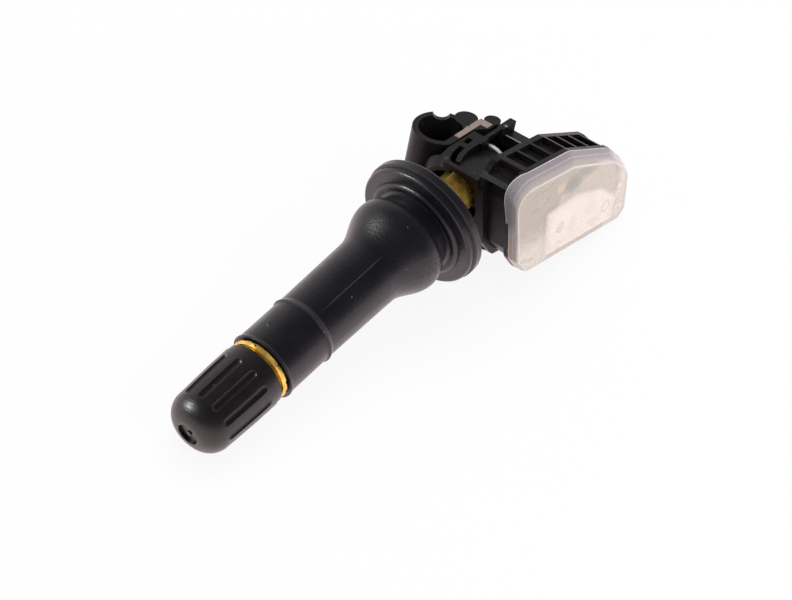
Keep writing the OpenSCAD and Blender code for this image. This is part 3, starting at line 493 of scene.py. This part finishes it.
# Where the tray's back lies on the box, and the skirt that reaches back over the
# box's front: how far it reaches, its lower edge, and where it narrows and ends
seat_x = 10.0
skirt_x = 9.15
skirt_foot = 2.7
skirt_gap = 0.06
skirt_bend = 4.8
skirt_end = 8.0
# Width of the fine line round the tray's back edge, painted light as a highlight
edge_line = 0.12
# The tray's profile from there to its face: how far each step goes in and out,
# how much lower the top edge comes, and whether it is part of the bead, which is painted light as a
# highlight
tray_steps = (
    (0.03, 0.13, 0.25, 0), (0.05, 0.6, 0.45, 0), (0.06, 0.4, 0.4, 0), (0.08, 0.22, 0.25, 0),
    (0.10, 0.13, 0.1, 0), (0.10, 0.04, 0.05, 1), (0.10, -0.04, 0.05, 1), (0.16, -0.10, 0.0, 0),
    (0.25, -0.02, 0.0, 0))
# The hollow behind the face: the two steps of its wall's thickness, and its depth
hollow_walls = (0.8, 0.25)
hollow_depth = 0.75
# How close a point has to be to a plane to be taken as in it
snap = 0.0001
tray = bmesh.new()
outline = [tray.verts.new((skirt_x, y, z)) for y, z, _ in tray_corners]
bmesh.ops.contextual_create(tray, geom=outline)
for y, z, length in tray_corners:
    corner = [v for v in tray.verts if abs(v.co.y - y) + abs(v.co.z - z) < 0.001]
    bmesh.ops.bevel(tray, geom=corner, offset=length, offset_type="OFFSET", segments=10,
                    profile=0.5, affect="VERTICES", material=-1)
for place, normal in (
        ((0, 0, skirt_foot), (0, 0, 1)), ((0, 0, skirt_foot - skirt_gap), (0, 0, 1)),
        ((0, skirt_bend, 0), (0, 1, 0)), ((0, skirt_end, 0), (0, 1, 0))):
    bmesh.ops.bisect_plane(tray, geom=tray.verts[:] + tray.edges[:] + tray.faces[:], dist=snap,
                           plane_co=place, plane_no=normal)
back = bmesh.ops.dissolve_faces(tray, faces=tray.faces[:], use_verts=False)["region"]
grown = bmesh.ops.extrude_face_region(tray, geom=back)["geom"]
field = [part for part in grown if isinstance(part, bmesh.types.BMFace)]
back = [face for face in tray.faces if len(face.verts) > 4 and face not in field]


def back_edge(y, z):
    """Where the tray's back edge lies: at its seat, or further back in the skirt."""
    if z < skirt_foot - skirt_gap / 2:
        return seat_x
    taper = min(max((y - skirt_bend) / (skirt_end - skirt_bend), 0.0), 1.0)
    return skirt_x + (seat_x - skirt_x) * taper


for v in tray.verts:
    v.co.x = back_edge(v.co.y, v.co.z)
for v in field[0].verts:
    v.co.x += edge_line
# The back edge's narrow faces take the painted highlight, and the rest takes the milky finish
for face in tray.faces:
    face.material_index = 1 if len(face.verts) == 4 else 0
face_x = seat_x + edge_line
for inward, forward, sink, bright in tray_steps:
    band = bmesh.ops.inset_region(tray, faces=field, thickness=inward, depth=0.0,
                                  use_even_offset=True)
    for face in band["faces"]:
        face.material_index = bright
    face_x += forward
    fresh = list({v for face in field for v in face.verts})
    for v in fresh:
        v.co.x = face_x
    bmesh.ops.scale(tray, verts=fresh, vec=(1, 1, 1 - sink / tray_height),
                    space=Matrix.Translation((0, 0, -tray_foot)))
for face in field:
    face.material_index = 0
for inward in hollow_walls:
    bmesh.ops.inset_region(tray, faces=back, thickness=inward, depth=0.0, use_even_offset=True)
    for v in {v for face in back for v in face.verts}:
        v.co.x = seat_x
grown = bmesh.ops.extrude_face_region(tray, geom=back)["geom"]
bmesh.ops.delete(tray, geom=back, context="FACES_ONLY")
bmesh.ops.translate(tray, verts=[part for part in grown if isinstance(part, bmesh.types.BMVert)],
                    vec=(hollow_depth, 0, 0))

# The island's outline in the lid's plane, its height and the width of its slope. Each
# boss on it has its place, its radius and its share of the height that is left to boss_top
island = ((15.2, -5.4), (32.3, -5.4), (32.3, -1.4), (26.9, 1.9), (20.0, 3.4), (13.2, 2.6))
island_rise = 0.5
island_slope = 1.3
bosses = (
    (32.6, 0.2, 1.5, 0.3), (33.9, -3.6, 1.4, 0.35),
    (17.3, -0.9, 1.2, 0.12), (29.2, -1.9, 1.3, 0.12))
boss_top = 0.58
# The face is cut on a fine grid between these places, so that it can take the relief
grid_step = 0.34
grid_reach = {1: (5.0, 36.0), 2: (-6.4, 9.4)}


def ease(value):
    """0 below 0, 1 above 1, and smooth between them."""
    value = min(max(value, 0.0), 1.0)
    return value * value * (3 - 2 * value)


def relief(y, z):
    """Height of the lid's face over its field."""
    inside = min(
        ((y1 - y0) * (z - z0) - (z1 - z0) * (y - y0)) / math.dist((y0, z0), (y1, z1))
        for (y0, z0), (y1, z1) in zip(island, island[1:] + island[:1]))
    raised = island_rise * ease(inside / island_slope + 0.3)
    for boss_y, boss_z, reach, share in bosses:
        nearness = 1 - math.dist((y, z), (boss_y, boss_z)) / reach
        raised += (boss_top - raised) * ease(nearness * 2) * share
    return raised


part = field + list({edge for face in field for edge in face.edges})
part += list({v for face in field for v in face.verts})
for axis, (grid_start, grid_end) in grid_reach.items():
    normal = Vector([float(each == axis) for each in range(3)])
    for row in range(math.ceil((grid_end - grid_start) / grid_step)):
        part = bmesh.ops.bisect_plane(tray, geom=part, dist=snap, plane_no=normal,
                                      plane_co=normal * (grid_start + grid_step * row))["geom"]
for v in part:
    if isinstance(v, bmesh.types.BMVert):
        v.co.x += relief(v.co.y, v.co.z)
bmesh.ops.recalc_face_normals(tray, faces=tray.faces[:])
house = Matrix((sideways, rearward, boxward)).transposed().to_4x4()
house.translation = flange
bmesh.ops.transform(tray, matrix=house @ Matrix.Scale(mm, 4), verts=tray.verts[:])
for face in tray.faces:
    face.smooth = True
lid_tray = put("lid_tray", tray, milky, milky_edge_highlight)
lid_tray.data.set_sharp_from_angle(angle=math.radians(50))
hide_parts("lid")
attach(lid_tray, "sensor")

# Screw that ties the stem to the housing, in zinc-plated steel. Its bright head
# shows over the bracket's wall.
zinc, shader, point = finish("zinc_plate", Metallic=0.35)
tint = point.grain(0.8, 3.0)
feed(shader, Base_Color=tint.blend((0.62, 0.60, 0.64), (0.78, 0.76, 0.82)),
     Roughness=0.24 + tint * 0.18, Normal=(tint * 0.03).bump())
dress("stem_screw", zinc)


# Electronics inside the box: a green board, a coin battery between two nickel
# strips, the sensor chip with its red seal, a wound coil, a crystal and the aerial.
def inner_finish(title, dark, light, rough, metal, size):
    """A plain finish with patches of two near colours, about size millimetres wide."""
    material, shader, point = finish(title, Metallic=metal)
    tint = point.grain(size, 2.0)
    feed(shader, Base_Color=tint.blend(dark, light), Roughness=rough + tint * 0.2,
         Normal=(tint * 0.015).bump())
    return material


nickel = inner_finish("nickel_plate", (0.50, 0.49, 0.46), (0.64, 0.63, 0.60), 0.22, 1.0, 0.9)
board_mask = inner_finish(
    "board_mask", (0.010, 0.055, 0.022), (0.018, 0.085, 0.035), 0.30, 0.0, 1.2)
chip_resin = inner_finish(
    "chip_resin", (0.012, 0.012, 0.013), (0.024, 0.024, 0.026), 0.45, 0.0, 0.4)
red_silicone = inner_finish("red_silicone", (0.20, 0.03, 0.02), (0.28, 0.05, 0.03), 0.40, 0.0, 0.5)
ferrite = inner_finish("ferrite", (0.030, 0.029, 0.030), (0.055, 0.053, 0.055), 0.55, 0.0, 0.3)
copper = inner_finish("enamelled_copper", (0.40, 0.14, 0.05), (0.55, 0.22, 0.08), 0.28, 1.0, 0.2)
tinned = inner_finish("tinned_wire", (0.62, 0.60, 0.55), (0.74, 0.72, 0.68), 0.25, 1.0, 0.3)
ceramic = inner_finish("ceramic", (0.28, 0.19, 0.12), (0.40, 0.29, 0.20), 0.40, 0.0, 0.4)
dress("circuit_board", board_mask)
dress("coin_cell", nickel)
dress("cell_tab_front", nickel)
dress("cell_tab_rear", nickel)
dress("sensor_chip", chip_resin)
dress("port_seal", red_silicone)
dress("coil_core", ferrite)
dress("coil_winding", copper)
dress("crystal", nickel)
dress("antenna_loop", tinned)
dress("board_parts", ceramic)


# Floor, a white sheet that the object lies on. The camera sees it as white as paper
# with a faint shadow, and gloss shows it a little brighter and pinker, as in the photograph.
def seen_by(tree, rays):
    """1 for rays of one kind, such as those of the camera."""
    return Wire(tree).add("ShaderNodeLightPath", {}, {}, f"Is {rays} Ray")


floor_reach = 2.0
plain_white = (1.0, 1.0, 1.0, 1.0)
pink_white = (1.0, 0.86, 0.88, 1.0)
white_share = 0.9
sheet, shader, point = finish("white_floor", Roughness=0.6)
feed(shader, Base_Color=point.grain(40.0).blend((0.86, 0.86, 0.86), (0.90, 0.90, 0.90)))
tree = sheet.node_tree
gloss_rays = seen_by(tree, "Glossy")
seen = seen_by(tree, "Camera").high(gloss_rays, seen_by(tree, "Transmission"))
glow = Wire(tree).add("ShaderNodeEmission", {}, {"Color": plain_white, "Strength": 1.0})
glint = Wire(tree).add("ShaderNodeEmission", {}, {"Color": pink_white, "Strength": 1.8})
paper = Wire(tree).add("ShaderNodeMixShader", {}, {0: gloss_rays, 1: glow, 2: glint})
shaded = Wire(tree, shader.outputs[0])
mixed = Wire(tree).add("ShaderNodeMixShader", {}, {0: seen * white_share, 1: shaded, 2: paper})
tree.links.new(mixed.socket, tree.nodes["Material Output"].inputs["Surface"])
ground = bmesh.new()
bmesh.ops.create_grid(ground, x_segments=2, y_segments=2, size=floor_reach)
floor = put("floor", ground, sheet)

# Light tent: white behind and beside the object, and dimmer in gloss on the front
# side, so that black rubber stays black there. The lamps are soft squares.
dim_side = (0.44, -0.61, 0.66)
dim_amount = 0.91
tent = bpy.data.worlds.new("light_tent")
bpy.context.scene.world = tent
tent.use_nodes = True
tree = tent.node_tree
toward = Wire(tree).add("ShaderNodeTexCoord", {}, {}, "Generated")
sheen = 1.0 - toward.dot(dim_side).step(-0.38, 0.38) * dim_amount
cool_white = (0.95, 0.96, 1.0, 1.0)
warm_white = (1.0, 0.97, 0.97, 1.0)
soft = Wire(tree).add("ShaderNodeBackground", {}, {"Color": cool_white, "Strength": 0.55})
glossy = Wire(tree).add("ShaderNodeBackground", {}, {"Color": warm_white, "Strength": sheen})
white = Wire(tree).add("ShaderNodeBackground", {}, {"Color": plain_white, "Strength": 1.0})
lit = Wire(tree).add("ShaderNodeMixShader", {}, {0: seen_by(tree, "Glossy"), 1: soft, 2: glossy})
seen = seen_by(tree, "Camera").high(seen_by(tree, "Transmission"))
mixed = Wire(tree).add("ShaderNodeMixShader", {}, {0: seen, 1: lit, 2: white})
tree.links.new(mixed.socket, tree.nodes["World Output"].inputs["Surface"])
object_middle = Vector((0.0, 0.0, 0.01))


def softbox(title, place, size, power, only_gloss):
    """A soft square lamp aimed at the object's middle, in metres and watts."""
    lamp = bpy.data.lights.new(title, "AREA")
    lamp.energy = power
    lamp.size = size
    stand = bpy.data.objects.new(title, lamp)
    stand.location = place
    stand.rotation_euler = (object_middle - stand.location).to_track_quat("-Z", "Y").to_euler()
    stand.visible_glossy = only_gloss
    stand.visible_diffuse = not only_gloss
    bpy.context.scene.collection.objects.link(stand)


softbox("lamp_above", (-0.10, 0.14, 0.50), 0.45, 1.6, False)
softbox("lamp_right", (0.45, -0.05, 0.25), 0.25, 1.0, False)
softbox("lamp_streak", (-0.31, -0.30, 0.26), 0.07, 2.6, True)
